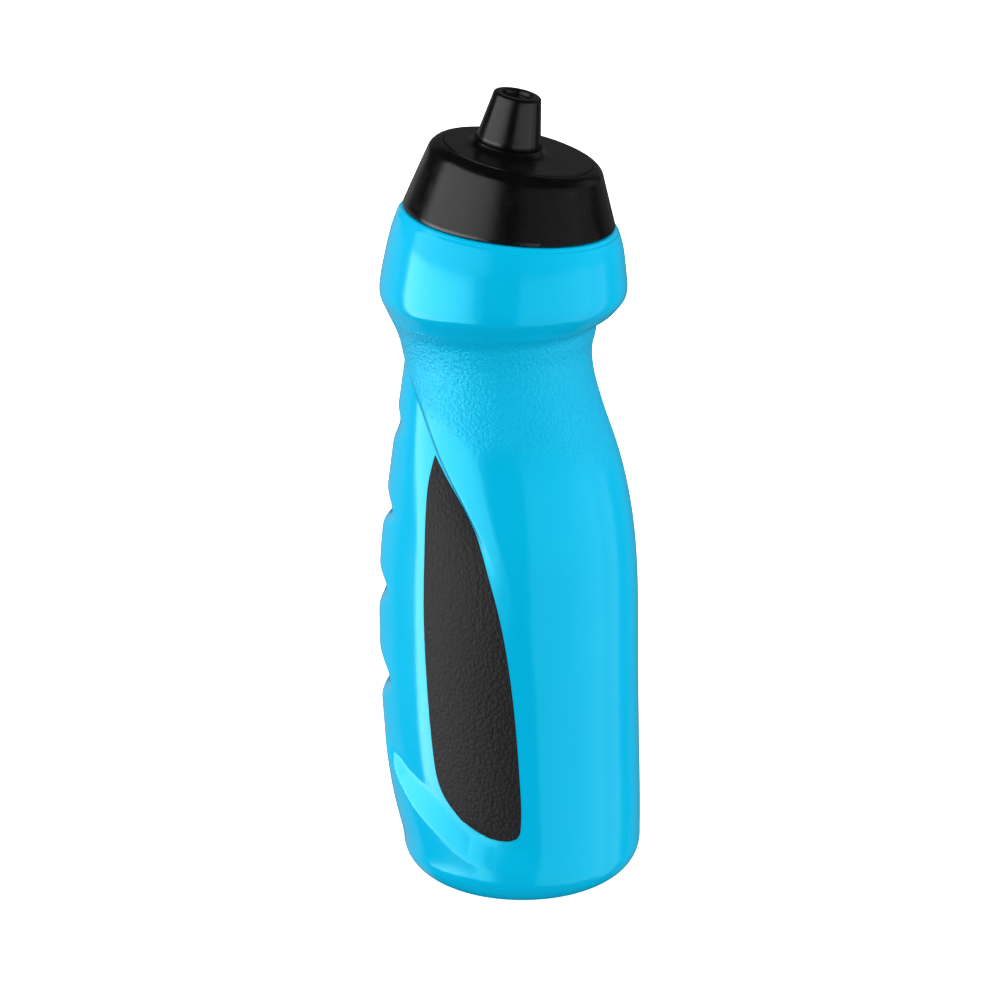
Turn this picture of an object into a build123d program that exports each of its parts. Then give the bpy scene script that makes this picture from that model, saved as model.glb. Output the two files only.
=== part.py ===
"""Sports squeeze bottle of about 0.7 litre: blown body, two rubber grips and a push-pull screw lid.

Millimetres, +Z up. +X is the front, which the neck leans towards; the finger grooves are at the
back (-X) and a grip pad is let into each flank (-Y and +Y). The origin is the bottom centre of
the whole bottle's box. The lid's pieces are drawn along the leaning neck, and the nozzle's along
the lid's slanted deck.
"""

import os
from math import cos, radians, sin, tan

from build123d import *

# Blown body
WALL = 1.5
BASE_X, BASE_RADIUS, BASE_ROUND = 4.0, 36.1, 9.3
PUSH_UP_RADIUS, PUSH_UP_HEIGHT = 22.0, 3.0
# Height, front, back and half-width of each oval section, from the base round to the collar
BODY_STATIONS = [
    (BASE_ROUND, 40.1, -32.1, 36.1),
    (18.0, 40.1, -34.6, 36.5),
    (30.0, 39.8, -37.3, 36.8),
    (55.0, 39.1, -39.6, 36.8),
    (82.0, 38.6, -40.1, 36.6),
    (104.0, 37.6, -39.2, 35.8),
    (122.0, 35.0, -37.0, 34.0),
    (138.0, 30.6, -34.9, 31.5),
    (152.0, 25.8, -33.1, 29.2),
    (163.0, 23.8, -32.1, 27.9),
    (170.0, 25.0, -33.8, 29.0),
    (173.5, 26.2, -35.4, 30.6),
    (177.0, 30.4, -36.9, 33.4),
    (181.0, 32.9, -37.7, 35.3),
]

# Finger grooves: the heights of their valleys, and the ring that cuts each of them
GROOVE_HEIGHTS = [61.7, 91.0, 114.5, 143.2]
GROOVE_DEPTH, GROOVE_SECTION, GROOVE_ENVELOPE = 2.0, 10.0, 45.2

# Flank recess: its floor is a flatter oval, which meets the body's surface near the front
FLANK_SHIFT, FLANK_LENGTHEN, FLANK_FLATTEN = 0.057, 1.05, 0.976
FLANK_TOP, FLANK_BOTTOM = (-28.5, 162.3), (-30.0, 40.0)
FLANK_UPPER_EDGE = [(-16.9, 144.7), (-1.5, 119.3), (11.4, 94.6)]
FLANK_FRONT, FLANK_FOOT, FLANK_ROOM = (16.5, 70.0), (-4.0, 18.0), 2.0
FLANK_LOWER_EDGE = [(-14.5, 25.5)]

# Grip pad, seen along Y as x and z
PAD_TIP, PAD_CORNER, PAD_CORNER_WAY = (-16.2, 139.4), (12.4, 26.2), (11.2, 23.0)
PAD_BOTTOM = (7.0, 22.0)
PAD_BACK = [(-19.2, 122.0), (-19.9, 92.0), (-18.5, 64.7), (-14.6, 36.1)]
PAD_FRONT = [(12.2, 42.0), (8.9, 77.9), (1.3, 109.9)]
PAD_POCKET, PAD_PROUD, PAD_FIT = 1.0, 0.25, 0.05

# Collar and neck, whose axis leans to the front
COLLAR_X, COLLAR_FOOT_RADIUS, COLLAR_RADIUS, COLLAR_HEIGHT, COLLAR_ROUND = -2.4, 35.3, 36.1, 181.0, 2.0
COLLAR_MIDDLE_X, COLLAR_MIDDLE_Z, COLLAR_MIDDLE_RADIUS = -1.9, 194.3, 34.95
RIM_X, RIM_Z, RIM_RADIUS, NECK_LEAN = -0.75, 204.7, 31.8, 6.6
RIM_ROUND = 1.4
NECK_BORE, NECK_ROOT, NECK_CREST, NECK_HEIGHT = 21.0, 22.6, 23.8, 12.5

# Right-hand screw thread
PITCH, THREAD_TURNS, RIDGE_FOOT, RIDGE_TOP, THREAD_GAP = 4.0, 1.5, 1.7, 0.8, 0.3
NECK_THREAD_START, RIDGE_SINK = 3.2, 0.2

# Gasket on the neck's rim
GASKET_THICKNESS, GASKET_INNER, GASKET_OUTER = 1.6, 20.2, 23.4

# Lid shell: outer skirt, threaded inner skirt, shoulder and the seat of the deck
LID_LIFT_OFF, LID_RADIUS, LID_DRAFT, LID_WALL, LID_SHOULDER = 0.3, 31.0, 18.4, 1.8, 4.4
LID_SKIRT_WALL, LID_SKIRT_FOOT, LID_GROOVE_TOP, LID_THROAT, LID_BLANK = 1.7, 1.0, 8.0, 17.0, 26.0
DECK_X, DECK_Z, DECK_LEAN = 2.0, 223.7, 11.1
DECK_RADIUS, DECK_THICKNESS, DECK_PROUD, DECK_FIT = 21.9, 2.2, 0.3, 0.08

# Push-pull valve, measured from the deck's plane along the nozzle
NOZZLE_BACK = 3.4
BOSS_FLARE, BOSS_RADIUS, BOSS_HEIGHT, BOSS_ROUND = 12.5, 9.8, 2.0, 3.0
NOZZLE_FOOT, NOZZLE_TOP, NOZZLE_HEIGHT, NOZZLE_ROUND = 9.55, 6.85, 16.6, 1.0
NOZZLE_GAP, NOZZLE_BORE, NOZZLE_LIP, NOZZLE_LIP_HEIGHT = 0.05, 6.45, 5.98, 1.0
NOZZLE_CEILING, FUNNEL_RADIUS, FUNNEL_DEPTH, ORIFICE = 13.8, 4.4, 1.2, 3.2
POST_RADIUS, POST_BORE, POST_FLANGE, POST_FLANGE_THICKNESS = 5.9, 4.4, 10.0, 1.5
PISTON_RADIUS, PISTON_FOOT, POST_TOP, POST_FIT = 6.4, 11.0, 13.5, 0.05
PIN_RADIUS, PIN_TOP, PIN_FOOT, WEB_WIDTH, WEB_TOP, WEB_COUNT = 3.1, 15.0, 8.4, 1.0, 12.4, 3
RING_SECTION, RING_OUTSIDE, RING_HEIGHT, RING_FIT = 0.6, 6.42, 12.25, 0.03


def leaning_plane(x, z, lean):
    """Plane whose normal leans from +Z towards +X by lean degrees."""
    angle = radians(lean)
    return Plane(origin=(x, 0, z), x_dir=(cos(angle), 0, -sin(angle)), z_dir=(sin(angle), 0, cos(angle)))


def section_plane(plane):
    """Plane through the normal of a leaning plane: x runs along its x, and y along its normal."""
    return Plane(origin=plane.origin, x_dir=plane.x_dir, z_dir=(0, -1, 0))


rim_plane = leaning_plane(RIM_X, RIM_Z, NECK_LEAN)
rim_section = section_plane(rim_plane)
neck_axis = Axis(rim_plane.origin, rim_plane.z_dir)
deck_plane = leaning_plane(DECK_X, DECK_Z, DECK_LEAN)
nozzle_plane = deck_plane.shift_origin(deck_plane.from_local_coords(Vector(-NOZZLE_BACK, 0, 0)))
nozzle_section = section_plane(nozzle_plane)
nozzle_axis = Axis(nozzle_plane.origin, nozzle_plane.z_dir)
base_section = section_plane(leaning_plane(BASE_X, 0, 0))
base_axis = Axis((BASE_X, 0, 0), (0, 0, 1))


def turned(section, axis, points):
    """Solid of revolution of a closed outline of (radius, height) points."""
    with BuildPart() as solid:
        with BuildSketch(section):
            with BuildLine():
                Polyline(*points, close=True)
            make_face()
        revolve(axis=axis)
    return solid.part


def oval_loft(stations, inset=0.0):
    """Smooth solid through the oval stations, each drawn in by inset."""
    with BuildPart() as solid:
        for height, front, back, half_width in stations:
            with BuildSketch(Plane.XY.offset(height)):
                with Locations(((front + back) / 2, 0)):
                    Ellipse((front - back) / 2 - inset, half_width - inset)
        loft()
    return solid.part


def base_blank(inset=0.0):
    """The round foot of the body below its first station, drawn in by inset."""
    foot = BASE_RADIUS - BASE_ROUND
    side = BASE_RADIUS - inset
    with BuildPart() as solid:
        with BuildSketch(base_section):
            with BuildLine():
                Polyline((side, BASE_ROUND), (0, BASE_ROUND), (0, inset), (foot, inset))
                CenterArc((foot, BASE_ROUND), BASE_ROUND - inset, -90, 90)
            make_face()
        revolve(axis=base_axis)
    return solid.part


def collar_blank(inset=0.0):
    """The collar between the last station and the slanted rim, drawn in by inset."""
    middle_plane = leaning_plane(COLLAR_MIDDLE_X, COLLAR_MIDDLE_Z, NECK_LEAN / 2)
    circles = [
        (leaning_plane(COLLAR_X, COLLAR_HEIGHT, 0), COLLAR_FOOT_RADIUS),
        (leaning_plane(COLLAR_X, COLLAR_HEIGHT + COLLAR_ROUND, 0), COLLAR_RADIUS),
        (middle_plane, COLLAR_MIDDLE_RADIUS),
        (rim_plane.offset(-inset), RIM_RADIUS),
    ]
    with BuildPart() as solid:
        for plane, radius in circles:
            with BuildSketch(plane):
                Circle(radius - inset)
        loft()
    return solid.part


def back_at(height):
    """X of the body's back at a height, on a straight line between two stations."""
    for lower, upper in zip(BODY_STATIONS, BODY_STATIONS[1:]):
        if lower[0] <= height <= upper[0]:
            share = (height - lower[0]) / (upper[0] - lower[0])
            return lower[2] + share * (upper[2] - lower[2])


def groove_ring(section_radius):
    """One ring per finger groove; it bites into the body's back and runs out at the flanks."""
    with BuildPart() as rings:
        for height in GROOVE_HEIGHTS:
            centre = back_at(height) + GROOVE_DEPTH + GROOVE_ENVELOPE
            with Locations((centre, 0, height)):
                Torus(GROOVE_ENVELOPE + GROOVE_SECTION, section_radius)
    return rings.part


def flank_floor(inset=0.0):
    """The flatter oval body whose surface is the floor of both flank recesses."""
    stations = []
    for height, front, back, half_width in BODY_STATIONS:
        half_length = (front - back) / 2 * FLANK_LENGTHEN
        centre = (front + back) / 2 + FLANK_SHIFT * half_length
        stations.append(
            (height, centre + half_length, centre - half_length, half_width * FLANK_FLATTEN)
        )
    return oval_loft(stations, inset)


def flank_block():
    """Both flanks' recess outlines, pushed through the bottle along Y."""
    with BuildPart() as block:
        with BuildSketch(Plane.XZ):
            with BuildLine():
                Line(FLANK_BOTTOM, FLANK_TOP)
                Spline(FLANK_TOP, *FLANK_UPPER_EDGE, FLANK_FRONT)
                Polyline(FLANK_FRONT, (FLANK_FRONT[0], FLANK_FOOT[1]), FLANK_FOOT)
                Spline(FLANK_FOOT, *FLANK_LOWER_EDGE, FLANK_BOTTOM)
            make_face()
        extrude(amount=2 * BASE_RADIUS, both=True)
    return block.part


def flank_block_inside():
    """The stretch in which the body's inner surface makes room for the recess and the pocket."""
    low, high = FLANK_FOOT[1] - FLANK_ROOM, FLANK_TOP[1] + FLANK_ROOM
    back, front = -2 * BASE_RADIUS, FLANK_FRONT[0] + FLANK_ROOM
    with BuildPart() as block:
        with BuildSketch(Plane.XZ):
            with Locations(((back + front) / 2, (low + high) / 2)):
                Rectangle(front - back, high - low)
        extrude(amount=2 * BASE_RADIUS, both=True)
    return block.part


def pad_block():
    """The grip pad's outline, pushed through the bottle along Y."""
    with BuildPart() as block:
        with BuildSketch(Plane.XZ):
            with BuildLine():
                Spline(PAD_TIP, *PAD_BACK, PAD_BOTTOM)
                ThreePointArc(PAD_BOTTOM, PAD_CORNER_WAY, PAD_CORNER)
                Spline(PAD_CORNER, *PAD_FRONT, PAD_TIP)
            make_face()
        extrude(amount=2 * BASE_RADIUS, both=True)
    return block.part


def thread_ridge(foot_radius, top_radius, start, sink):
    """Upright right-hand ridge of trapezoid section, from its foot radius to its top radius."""
    outward = 1 if top_radius > foot_radius else -1
    depth = abs(top_radius - foot_radius)
    with BuildPart() as ridge:
        with BuildLine() as path:
            Helix(PITCH, PITCH * THREAD_TURNS, foot_radius, center=(0, 0, start))
        profile = Plane(origin=path.line @ 0, x_dir=(outward, 0, 0), z_dir=path.line % 0)
        with BuildSketch(profile):
            with BuildLine():
                Polyline(
                    (-sink, -RIDGE_FOOT / 2),
                    (depth, -RIDGE_TOP / 2),
                    (depth, RIDGE_TOP / 2),
                    (-sink, RIDGE_FOOT / 2),
                    close=True,
                )
            make_face()
        sweep(path=path.line, is_frenet=True)
    return ridge.part


# ---------------------------------------------------------------- bottle body
outside = [base_blank(), oval_loft(BODY_STATIONS), collar_blank()]
inside = [base_blank(WALL), oval_loft(BODY_STATIONS, WALL), collar_blank(WALL)]
push_up_sphere = (PUSH_UP_RADIUS**2 + PUSH_UP_HEIGHT**2) / (2 * PUSH_UP_HEIGHT)
push_up_centre = (BASE_X, 0, PUSH_UP_HEIGHT - push_up_sphere)
recess_block, recess_block_inside = flank_block(), flank_block_inside()
recess_floor, recess_floor_inside = flank_floor(), flank_floor(WALL + PAD_POCKET)
pocket_block, pocket_floor = pad_block(), flank_floor(PAD_POCKET)
outer_rings, inner_rings = groove_ring(GROOVE_SECTION), groove_ring(GROOVE_SECTION + WALL)

with BuildPart() as recess_cut:
    add(recess_block)
    add(recess_floor, mode=Mode.SUBTRACT)

with BuildPart() as recess_cut_inside:
    add(recess_block_inside)
    add(recess_floor_inside, mode=Mode.SUBTRACT)

with BuildPart() as pocket_cut:
    add(pocket_block)
    add(pocket_floor, mode=Mode.SUBTRACT)

with BuildPart() as cavity:
    add(inside)
    add(inner_rings, mode=Mode.SUBTRACT)
    add(recess_cut_inside.part, mode=Mode.SUBTRACT)
    with Locations(push_up_centre):
        Sphere(push_up_sphere + WALL, mode=Mode.SUBTRACT)

with BuildPart() as bottle_body:
    add(outside)
    fillet(bottle_body.edges().sort_by(Axis.Z)[-1], RIM_ROUND)
    add(outer_rings, mode=Mode.SUBTRACT)
    add(recess_cut.part, mode=Mode.SUBTRACT)
    add(pocket_cut.part, mode=Mode.SUBTRACT)
    with Locations(push_up_centre):
        Sphere(push_up_sphere, mode=Mode.SUBTRACT)
    add(cavity.part, mode=Mode.SUBTRACT)
    with BuildSketch(rim_plane.offset(-2 * WALL)):
        Circle(NECK_BORE)
    extrude(amount=3 * WALL, mode=Mode.SUBTRACT)

bottle_body.part.label = "bottle_body"

# ------------------------------------------------- threaded neck on the rim
neck_ridge = thread_ridge(NECK_ROOT, NECK_CREST, NECK_THREAD_START, RIDGE_SINK)

with BuildPart() as bottle_neck:
    with BuildSketch(rim_plane):
        Circle(NECK_ROOT)
    extrude(amount=NECK_HEIGHT)
    with Locations(rim_plane):
        add(neck_ridge)
    with BuildSketch(rim_plane):
        Circle(NECK_BORE)
    extrude(amount=NECK_HEIGHT, mode=Mode.SUBTRACT)
bottle_neck.part.label = "bottle_neck"

# ------------------------------------------------------------------ grip pads
pad_outline, pad_face = pad_block(), flank_floor(-PAD_PROUD)
pad_back = flank_floor(PAD_POCKET - PAD_FIT)

with BuildPart() as grip_pads:
    add(pad_outline)
    add(pad_face, mode=Mode.INTERSECT)
    add(pad_back, mode=Mode.SUBTRACT)

right_solid, left_solid = grip_pads.solids().sort_by(Axis.Y)

with BuildPart() as grip_pad_right:
    add(right_solid)
grip_pad_right.part.label = "grip_pad_right"

with BuildPart() as grip_pad_left:
    add(left_solid)
grip_pad_left.part.label = "grip_pad_left"

# --------------------------------------------------------------------- gasket
with BuildPart() as lid_gasket:
    with BuildSketch(rim_plane.offset(NECK_HEIGHT)):
        Circle(GASKET_OUTER)
        Circle(GASKET_INNER, mode=Mode.SUBTRACT)
    extrude(amount=GASKET_THICKNESS)
lid_gasket.part.label = "lid_gasket"

# ------------------------------------------------------------------ lid shell
def cone_radius(height):
    """Outer radius of the lid's skirt at a height above the rim."""
    return LID_RADIUS - (height - LID_LIFT_OFF) * tan(radians(LID_DRAFT))


lid_ceiling = NECK_HEIGHT + GASKET_THICKNESS
lid_crest, lid_root = NECK_ROOT + THREAD_GAP, NECK_CREST + THREAD_GAP
skirt_outside = lid_root + LID_SKIRT_WALL
lid_outline = [
    (0, LID_LIFT_OFF),
    (LID_RADIUS, LID_LIFT_OFF),
    (cone_radius(LID_BLANK), LID_BLANK),
    (0, LID_BLANK),
]
lid_hollow = [
    (0, 0),
    (lid_root, 0),
    (lid_root, lid_ceiling),
    (LID_THROAT, lid_ceiling),
    (LID_THROAT, LID_BLANK),
    (0, LID_BLANK),
]
skirt_gap = [
    (lid_root - RIDGE_SINK, 0),
    (cone_radius(0) - LID_WALL, 0),
    (cone_radius(LID_GROOVE_TOP) - LID_WALL, LID_GROOVE_TOP),
    (skirt_outside, LID_GROOVE_TOP),
    (skirt_outside, LID_SKIRT_FOOT),
    (lid_root - RIDGE_SINK, LID_SKIRT_FOOT),
]
lid_blank = turned(rim_section, neck_axis, lid_outline)
lid_inside = turned(rim_section, neck_axis, lid_hollow)
lid_gap = turned(rim_section, neck_axis, skirt_gap)
lid_thread_start = NECK_THREAD_START + PITCH / 2
lid_ridge = thread_ridge(lid_root, lid_crest, lid_thread_start, RIDGE_SINK)

with BuildPart() as lid_shell:
    add(lid_blank)
    split(bisect_by=deck_plane, keep=Keep.BOTTOM)
    fillet(lid_shell.edges().sort_by(neck_axis)[-1], LID_SHOULDER)
    with BuildSketch(deck_plane.offset(-DECK_THICKNESS)):
        Circle(DECK_RADIUS)
    extrude(amount=2 * DECK_THICKNESS, mode=Mode.SUBTRACT)
    add(lid_inside, mode=Mode.SUBTRACT)
    add(lid_gap, mode=Mode.SUBTRACT)
    with Locations(rim_plane):
        add(lid_ridge)
lid_shell.part.label = "lid_shell"

# ------------------------------------------------------- lid deck with its boss
with BuildPart() as lid_deck:
    with BuildSketch(deck_plane.offset(DECK_PROUD)):
        Circle(DECK_RADIUS - DECK_FIT)
    extrude(amount=-(DECK_THICKNESS + DECK_PROUD))
    with BuildSketch(nozzle_section):
        with BuildLine():
            Polyline((BOSS_FLARE, DECK_PROUD), (BOSS_FLARE, 0), (0, 0), (0, BOSS_HEIGHT))
            Line((0, BOSS_HEIGHT), (BOSS_RADIUS, BOSS_HEIGHT))
            RadiusArc((BOSS_RADIUS, BOSS_HEIGHT), (BOSS_FLARE, DECK_PROUD), BOSS_ROUND)
        make_face()
    revolve(axis=nozzle_axis)
    with BuildSketch(nozzle_plane.offset(-DECK_THICKNESS)):
        Circle(POST_RADIUS + POST_FIT)
    extrude(amount=DECK_THICKNESS + BOSS_HEIGHT, mode=Mode.SUBTRACT)
lid_deck.part.label = "lid_deck"

# ----------------------------------------------------------------- valve post
ring_major = RING_OUTSIDE - RING_SECTION
ring_seat = ring_major - RING_SECTION - RING_FIT
ring_room = RING_SECTION + RING_FIT
flange_top = -DECK_THICKNESS
post_foot = flange_top - POST_FLANGE_THICKNESS
post_outline = [
    (POST_BORE, post_foot),
    (POST_FLANGE, post_foot),
    (POST_FLANGE, flange_top),
    (POST_RADIUS, flange_top),
    (POST_RADIUS, PISTON_FOOT),
    (PISTON_RADIUS, PISTON_FOOT),
    (PISTON_RADIUS, RING_HEIGHT - ring_room),
    (ring_seat, RING_HEIGHT - ring_room),
    (ring_seat, RING_HEIGHT + ring_room),
    (PISTON_RADIUS, RING_HEIGHT + ring_room),
    (PISTON_RADIUS, POST_TOP),
    (POST_BORE, POST_TOP),
]
post_tube = turned(nozzle_section, nozzle_axis, post_outline)

with BuildPart() as valve_post:
    add(post_tube)
    with BuildSketch(nozzle_plane.offset(PIN_FOOT)):
        Circle(PIN_RADIUS)
    extrude(amount=PIN_TOP - PIN_FOOT)
    with BuildSketch(nozzle_plane.offset(PIN_FOOT)):
        with PolarLocations((PIN_RADIUS + POST_BORE) / 2, WEB_COUNT):
            Rectangle(PISTON_RADIUS - POST_BORE, WEB_WIDTH)
    extrude(amount=WEB_TOP - PIN_FOOT)
valve_post.part.label = "valve_post"

with BuildPart() as post_o_ring:
    with BuildSketch(nozzle_section):
        with Locations((ring_major, RING_HEIGHT)):
            Circle(RING_SECTION)
    revolve(axis=nozzle_axis)
post_o_ring.part.label = "post_o_ring"

# -------------------------------------------------------------------- nozzle
nozzle_foot = BOSS_HEIGHT + NOZZLE_GAP
nozzle_outline = [
    (0, nozzle_foot),
    (NOZZLE_FOOT, nozzle_foot),
    (NOZZLE_TOP, NOZZLE_HEIGHT),
    (0, NOZZLE_HEIGHT),
]
nozzle_hollow = [
    (0, nozzle_foot),
    (NOZZLE_LIP, nozzle_foot),
    (NOZZLE_LIP, nozzle_foot + NOZZLE_LIP_HEIGHT),
    (NOZZLE_BORE, nozzle_foot + NOZZLE_LIP_HEIGHT),
    (NOZZLE_BORE, NOZZLE_CEILING),
    (ORIFICE, NOZZLE_CEILING),
    (ORIFICE, NOZZLE_HEIGHT - FUNNEL_DEPTH),
    (FUNNEL_RADIUS, NOZZLE_HEIGHT),
    (0, NOZZLE_HEIGHT),
]
nozzle_blank = turned(nozzle_section, nozzle_axis, nozzle_outline)
nozzle_inside = turned(nozzle_section, nozzle_axis, nozzle_hollow)

with BuildPart() as nozzle:
    add(nozzle_blank)
    fillet(nozzle.edges().sort_by(nozzle_axis)[-1], NOZZLE_ROUND)
    add(nozzle_inside, mode=Mode.SUBTRACT)
nozzle.part.label = "nozzle"

# -------------------------------------------------------------------- output
os.makedirs("parts", exist_ok=True)
pieces = [
    bottle_body,
    bottle_neck,
    grip_pad_right,
    grip_pad_left,
    lid_gasket,
    lid_shell,
    lid_deck,
    valve_post,
    post_o_ring,
    nozzle,
]
for piece in pieces:
    export_step(piece.part, f"parts/{piece.part.label}.step")
    print(piece.part.label, round(piece.part.volume), piece.part.is_valid, len(piece.solids()))
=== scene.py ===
"""Looks of a sports squeeze bottle: a blown cyan body with inlaid rubber grips and a black lid.

Every piece is a skin of rings. A ring is an ellipse (centre x, centre z, lean, half-length along
x, half-width along y) in millimetres, and the lean turns its plane towards the front, as the neck
and the lid's deck are turned. +X is the front, -X the grooved back, and the grips are on -Y and +Y.
"""

import math

import bmesh
import bpy
import numpy as np
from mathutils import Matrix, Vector


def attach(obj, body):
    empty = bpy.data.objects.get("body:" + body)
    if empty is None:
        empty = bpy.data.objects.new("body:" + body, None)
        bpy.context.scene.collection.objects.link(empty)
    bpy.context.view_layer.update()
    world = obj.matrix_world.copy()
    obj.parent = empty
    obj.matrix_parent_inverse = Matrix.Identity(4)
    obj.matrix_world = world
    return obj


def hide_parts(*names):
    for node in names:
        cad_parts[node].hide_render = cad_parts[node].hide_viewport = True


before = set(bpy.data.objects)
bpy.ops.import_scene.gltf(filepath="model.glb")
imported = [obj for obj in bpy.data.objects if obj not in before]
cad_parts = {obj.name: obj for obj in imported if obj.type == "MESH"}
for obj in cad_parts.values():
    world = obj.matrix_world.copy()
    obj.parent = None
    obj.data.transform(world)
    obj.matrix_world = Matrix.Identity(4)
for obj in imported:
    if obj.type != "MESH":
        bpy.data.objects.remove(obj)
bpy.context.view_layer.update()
bpy.context.scene.view_settings.view_transform = "Standard"

MM = 0.001

# ------------------------------------------------------------------ sizes, mm
BASE_X, BASE_RADIUS, BASE_ROUND = 3.6, 36.45, 9.3
PUSH_UP_RADIUS, PUSH_UP_HEIGHT = 22.0, 3.0
RIM_X, RIM_Z, NECK_LEAN, RIM_RADIUS, RIM_ROUND = -0.75, 204.7, 6.6, 31.8, 1.3
COLLAR_FOOT = 183.0
NECK_BORE, NECK_ROOT, NECK_CREST, NECK_HEIGHT, PITCH = 21.0, 22.6, 23.8, 12.5, 4.0
DECK_X, DECK_Z, DECK_LEAN, DECK_RADIUS, DECK_PROUD = 2.0, 223.7, 11.1, 21.9, 0.3

# Centre height, centre x, half-length and half-width of the body from its foot to its rim
BODY = [
    (4.0, 3.6, 36.45, 36.45),
    (9.3, 3.6, 36.45, 36.45),
    (18.0, 2.6, 37.45, 36.6),
    (30.0, 1.25, 38.55, 36.8),
    (55.0, -0.25, 39.35, 36.8),
    (82.0, -0.75, 39.35, 36.6),
    (104.0, -0.8, 38.4, 35.8),
    (122.0, -1.0, 36.0, 34.0),
    (138.0, -2.15, 32.75, 31.5),
    (145.0, -2.95, 31.0, 30.4),
    (152.0, -3.65, 29.45, 29.2),
    (158.0, -4.1, 28.4, 28.2),
    (163.0, -4.25, 27.95, 27.9),
    (167.0, -4.4, 28.3, 28.2),
    (170.0, -4.5, 29.15, 28.8),
    (172.5, -4.8, 29.85, 29.6),
    (174.3, -4.7, 30.7, 31.0),
    (176.0, -3.75, 32.4, 32.5),
    (179.0, -2.8, 34.65, 34.6),
    (181.0, -2.5, 35.8, 35.75),
    (183.0, -2.4, 36.2, 36.2),
    (188.0, -2.15, 35.75, 35.75),
    (194.7, -1.6, 34.65, 34.65),
    (200.0, -1.15, 33.45, 33.45),
    (204.7, -0.75, 31.8, 31.8),
]

# Finger grooves at the back: valley's height, its depth, and how far it reaches up and down
GROOVES = [
    (61.7, 3.1, 10.5, 8.5), (91.0, 2.5, 7.0, 9.0), (114.5, 2.55, 8.5, 6.0), (142.5, 1.5, 6.5, 8.0),
]
# Degrees from the back at which the grooves run out
GROOVE_REACH = 48.0

# Flank recess. Front edge: height and x. Crease over the grip's tip: height and x.
RECESS_FRONT = [
    (12.0, 17.0), (40.0, 16.4), (60.0, 15.4), (78.0, 13.8), (95.0, 11.3), (111.0, 7.4),
    (124.0, 3.1), (139.0, -1.8), (148.0, -8.0), (156.0, -17.0), (164.0, -27.0),
]
CREASE = [
    (104.0, 4.9), (109.0, 3.3), (114.0, 1.3), (119.3, -1.5),
    (124.6, -4.6), (130.7, -8.5), (137.3, -12.7), (144.7, -16.9),
    (151.5, -20.8), (157.8, -24.9), (164.0, -29.5), (172.0, -34.0),
]
RECESS_STEP, RECESS_RUN, RECESS_SLOPE = 1.3, 8.0, 0.045
RECESS_SOFT, RECESS_SOFT_BELOW = 0.6, 5.0
# Between these heights the recess gets softer at its front edge, shallower, and ends
RECESS_SHARP, RECESS_SHALLOW, RECESS_TOP = (66, 98), (104, 142), (154, 168)
RECESS_LIP, RECESS_EASED = 0.15, 0.75
# Degrees from the back between which the recess runs out
RECESS_TURN = (10, 52)
# The crease's step, the heights at which it starts and ends, and the painted shade line along it: its offset
# behind the crease, its width, and the heights at which it starts and ends
CREASE_DEPTH, CREASE_EDGE, CREASE_FADE = 1.25, 0.9, 8.0
CREASE_FOOT, CREASE_TOP = (104, 121), (158, 170)
PAINTED_SHADE_OFFSET, PAINTED_SHADE_WIDTH, PAINTED_SHADE_FOOT, PAINTED_SHADE_TOP = 0.5, 1.0, (112, 120), (158, 168)
# Lower end of the recess: x, height where its slope starts and height where it ends
RECESS_FOOT = [
    (-45.0, 47.5, 50.0), (-31.4, 35.0, 39.0), (-28.6, 31.5, 36.6),
    (-22.7, 27.2, 34.4),
    (-15.6, 22.8, 31.0), (-9.0, 17.7, 26.3), (-4.0, 15.1, 22.4),
    (4.0, 13.0, 20.0), (17.0, 11.0, 19.0),
]

# Grip pads: height and x of the two long edges, which meet in a point above and an arc below
PAD_LEFT = [
    (22.0, 6.8), (22.6, 2.6), (24.2, -1.8), (27.0, -7.2), (31.0, -11.4), (36.1, -14.8),
    (44.0, -16.8), (64.7, -18.9), (88.0, -20.1), (109.0, -19.9), (122.0, -19.2), (132.0, -18.0), (139.4, -16.3),
]
PAD_RIGHT = [
    (22.0, 6.8), (22.25, 9.2), (23.2, 11.4), (25.0, 12.4), (28.0, 12.6), (42.0, 12.2),
    (56.0, 11.2), (78.0, 8.8), (95.0, 5.6), (109.9, 1.2), (118.2, -2.0), (126.0, -6.7),
    (133.0, -11.8), (139.4, -16.3),
]
PAD_PROUD, PAD_EDGE, PAD_SINK = 0.3, 0.55, 1.0

# Grained band round the waist: x and lower edge of the grain in front of the crease
GRAIN_LOW = [
    (-40.0, 163.0), (-28.5, 162.3), (-16.9, 146.0), (-8.0, 141.5), (0.0, 140.2), (18.5, 136.6),
    (40.0, 127.0),
]
GRAIN_TOP, GRAIN_END, GRAIN_START = 178.0, 3.0, (-2.0, 9.0)

# Thread: turns, run-out at each end in turns, half-width of a ridge's foot and width of its slope
THREAD_TURNS, THREAD_RUN_OUT, RIDGE_HALF, RIDGE_SLOPE = 1.5, 0.06, 0.95, 0.55
NECK_THREAD_START, LID_THREAD_START, LID_THREAD_ROOT = 2.6, 4.6, 24.1


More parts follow.
